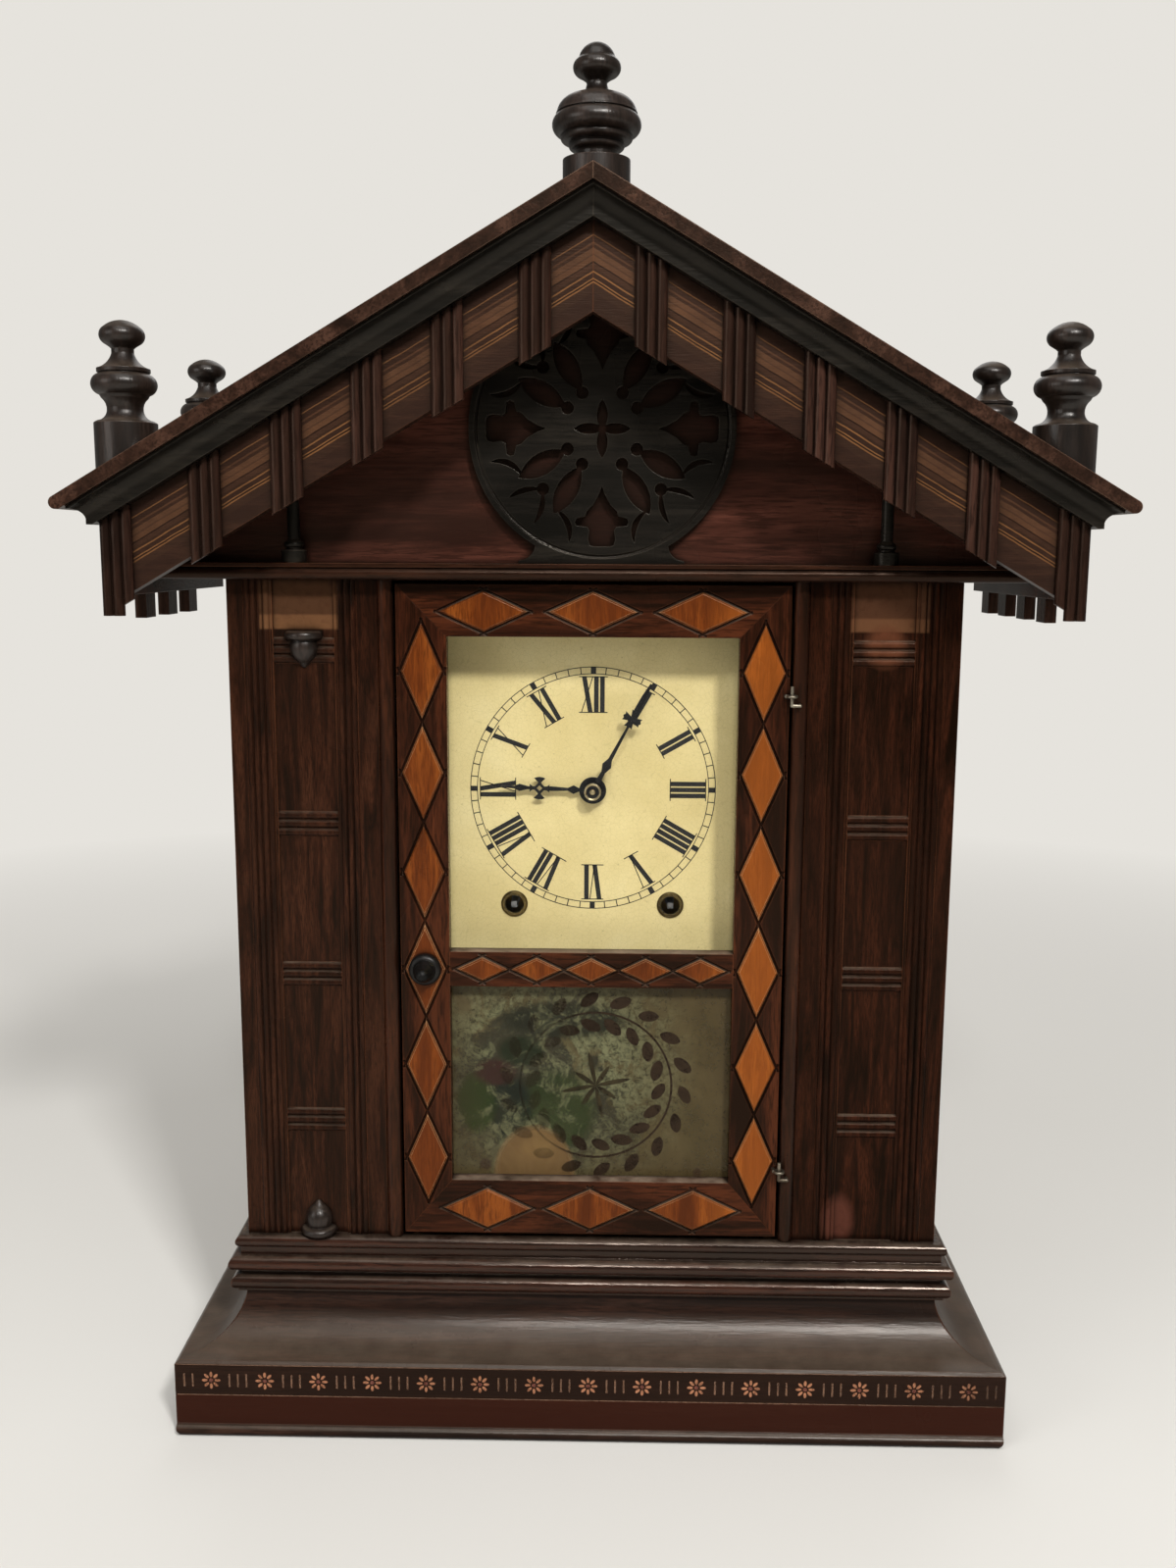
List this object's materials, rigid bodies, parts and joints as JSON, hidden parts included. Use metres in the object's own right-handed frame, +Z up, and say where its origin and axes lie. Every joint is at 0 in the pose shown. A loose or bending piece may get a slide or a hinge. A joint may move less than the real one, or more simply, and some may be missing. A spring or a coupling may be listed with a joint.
{
  "type": "shelf clock",
  "caption": "Gabled wooden shelf clock with a hinged glazed door, reeded frieze, pierced rosette, turned finials, dial with hands, and a striking pendulum movement inside.",
  "frame": {"origin": "on the flat underside of the base, at the body's centre line, below the front face of the body", "axes": "+Z up, front faces -Y, +X to the right seen from the front"},
  "size_m": [0.4878, 0.1888, 0.701],
  "materials": {
    "dark_wood": "aged dark walnut stain",
    "plinth_wood": "aged dark stain with a painted border",
    "roof_wood": "worn red-brown stain",
    "ebonised": "ebonised, satin",
    "gable_wood": "red-brown veneer",
    "frieze_wood": "dark veneer with lighter inlaid stripes",
    "pilaster_wood": "dark stain with pale bare patches",
    "door_wood": "aged dark stain",
    "lozenge_wood": "orange-brown veneer",
    "finial_wood": "dark stain, satin",
    "inner_wood": "bare aged wood",
    "dial_paint": "aged cream paint with black figures",
    "grommet_brass": "tarnished",
    "hand_black": "blackened steel",
    "clear_glass": "clear",
    "painted_glass": "back-painted, worn",
    "knob_iron": "dark",
    "hinge_wire": "dull",
    "plate_brass": "tarnished",
    "wheel_brass": "tarnished",
    "steel": "grey",
    "bob_brass": "polished, tarnished at the rim",
    "gong_steel": "blued"
  },
  "bodies": {
    "case": {"bottom_board": "inner_wood", "floor_board": "inner_wood", "plinth": "plinth_wood", "base_beads": "dark_wood", "case_sides": "dark_wood", "back_board": "inner_wood", "top_shelf": "dark_wood", "pilaster_left": "pilaster_wood", "pilaster_right": "pilaster_wood", "jamb_beads": "dark_wood", "gable_panel": "gable_wood", "rosette": "ebonised", "columns": "ebonised", "roof_boards": "roof_wood", "rake_coves": "ebonised", "eave_coves": "ebonised", "friezes": "frieze_wood", "fascias": "dark_wood", "frieze_blocks": "finial_wood", "fascia_blocks": "finial_wood", "ridge_finial": "finial_wood", "corner_finials": "finial_wood", "acorns": "finial_wood", "dial_strips": "inner_wood", "dial_plate": "dial_paint", "grommets": "grommet_brass", "hinge_hooks": "hinge_wire", "plate_front": "plate_brass", "plate_back": "plate_brass", "pillars": "steel", "mainsprings": "steel", "gong": "gong_steel"},
    "door": {"stile_left": "door_wood", "stile_right": "door_wood", "rail_top": "door_wood", "rail_middle": "door_wood", "rail_bottom": "door_wood", "lozenges": "lozenge_wood", "dial_glass": "clear_glass", "tablet_glass": "painted_glass", "hinge_eyes": "hinge_wire"},
    "catch": {"door_knob": "knob_iron"},
    "minute": {"minute_hand": "hand_black"},
    "hour": {"hour_hand": "hand_black"},
    "motion_wheel": {"minute_wheel": "wheel_brass"},
    "great_time": {"great_wheel_time": "wheel_brass"},
    "great_strike": {"great_wheel_strike": "wheel_brass"},
    "winder_time": {"winding_arbor_time": "steel"},
    "winder_strike": {"winding_arbor_strike": "steel"},
    "second": {"second_wheel": "wheel_brass"},
    "centre": {"centre_wheel": "wheel_brass"},
    "third": {"third_wheel": "wheel_brass"},
    "escape": {"escape_wheel": "wheel_brass"},
    "verge_body": {"verge": "steel"},
    "pendulum": {"pendulum_rod": "steel", "bob": "bob_brass"},
    "strike_second": {"strike_second_wheel": "wheel_brass"},
    "strike_third": {"strike_third_wheel": "wheel_brass"},
    "fly_body": {"fly": "steel"},
    "hammer_body": {"hammer": "steel"}
  },
  "joints": [
    {"name": "door_swing", "type": "hinge", "parent": "case", "child": "door", "pos_m": [0.0983, -0.006, 0.271], "axis": [0, 0, 1], "range_deg": [0, 115]},
    {"name": "knob_turn", "type": "hinge", "parent": "door", "child": "catch", "pos_m": [-0.085, -0.01, 0.2455], "axis": [0, 1, 0], "range_deg": [0, 90]},
    {"name": "minute_hand_turn", "type": "hinge", "parent": "case", "child": "minute", "pos_m": [0, 0.06, 0.335], "axis": [0, -1, 0], "continuous": true},
    {"name": "hour_hand_turn", "type": "hinge", "parent": "case", "child": "hour", "pos_m": [0, 0.06, 0.335], "axis": [0, -1, 0], "continuous": true},
    {"name": "minute_wheel_turn", "type": "hinge", "parent": "case", "child": "motion_wheel", "pos_m": [0.018, 0.06, 0.335], "axis": [0, -1, 0], "continuous": true},
    {"name": "third_wheel_turn", "type": "hinge", "parent": "case", "child": "third", "pos_m": [-0.01188, 0.06, 0.35558], "axis": [0, -1, 0], "continuous": true},
    {"name": "escape_wheel_turn", "type": "hinge", "parent": "case", "child": "escape", "pos_m": [-0.029, 0.06, 0.36414], "axis": [0, -1, 0], "continuous": true},
    {"name": "centre_wheel_turn", "type": "hinge", "parent": "case", "child": "centre", "pos_m": [0, 0.06, 0.335], "axis": [0, -1, 0], "continuous": true},
    {"name": "second_wheel_turn", "type": "hinge", "parent": "case", "child": "second", "pos_m": [0.02716, 0.06, 0.31113], "axis": [0, -1, 0], "continuous": true},
    {"name": "great_wheel_time_turn", "type": "hinge", "parent": "case", "child": "great_time", "pos_m": [0.041, 0.06, 0.2736], "axis": [0, -1, 0], "continuous": true},
    {"name": "strike_third_turn", "type": "hinge", "parent": "case", "child": "strike_third", "pos_m": [-0.05749, 0.06, 0.33082], "axis": [0, -1, 0], "continuous": true},
    {"name": "fly_turn", "type": "hinge", "parent": "case", "child": "fly_body", "pos_m": [-0.05749, 0.06, 0.34702], "axis": [0, -1, 0], "continuous": true},
    {"name": "strike_second_turn", "type": "hinge", "parent": "case", "child": "strike_second", "pos_m": [-0.02716, 0.06, 0.31113], "axis": [0, -1, 0], "continuous": true},
    {"name": "great_wheel_strike_turn", "type": "hinge", "parent": "case", "child": "great_strike", "pos_m": [-0.041, 0.06, 0.2736], "axis": [0, -1, 0], "continuous": true},
    {"name": "winding_time_turn", "type": "hinge", "parent": "case", "child": "winder_time", "pos_m": [0.041, 0.06, 0.2736], "axis": [0, -1, 0], "continuous": true},
    {"name": "winding_strike_turn", "type": "hinge", "parent": "case", "child": "winder_strike", "pos_m": [-0.041, 0.06, 0.2736], "axis": [0, -1, 0], "continuous": true},
    {"name": "pendulum_swing", "type": "hinge", "parent": "case", "child": "pendulum", "pos_m": [-0.029, 0.06, 0.381], "axis": [0, -1, 0], "range_deg": [-4, 4]},
    {"name": "verge_rock", "type": "hinge", "parent": "case", "child": "verge_body", "pos_m": [-0.029, 0.06, 0.381], "axis": [0, -1, 0], "range_deg": [-4, 4]},
    {"name": "hammer_lift", "type": "hinge", "parent": "case", "child": "hammer_body", "pos_m": [0, 0.06, 0.2586], "axis": [0, -1, 0], "range_deg": [-12, 0]}
  ],
  "couplings": [
    {"joint": "hour_hand_turn", "follows": "minute_hand_turn", "ratio": 0.083333},
    {"joint": "minute_wheel_turn", "follows": "minute_hand_turn", "ratio": -0.33333},
    {"joint": "escape_wheel_turn", "follows": "third_wheel_turn", "ratio": -10},
    {"joint": "centre_wheel_turn", "follows": "third_wheel_turn", "ratio": -0.1},
    {"joint": "second_wheel_turn", "follows": "third_wheel_turn", "ratio": 0.014286},
    {"joint": "great_wheel_time_turn", "follows": "third_wheel_turn", "ratio": -0.0020408},
    {"joint": "fly_turn", "follows": "strike_third_turn", "ratio": -8},
    {"joint": "strike_second_turn", "follows": "strike_third_turn", "ratio": -0.14286},
    {"joint": "great_wheel_strike_turn", "follows": "strike_third_turn", "ratio": 0.020408},
    {"joint": "verge_rock", "follows": "pendulum_swing", "ratio": 1}
  ]
}
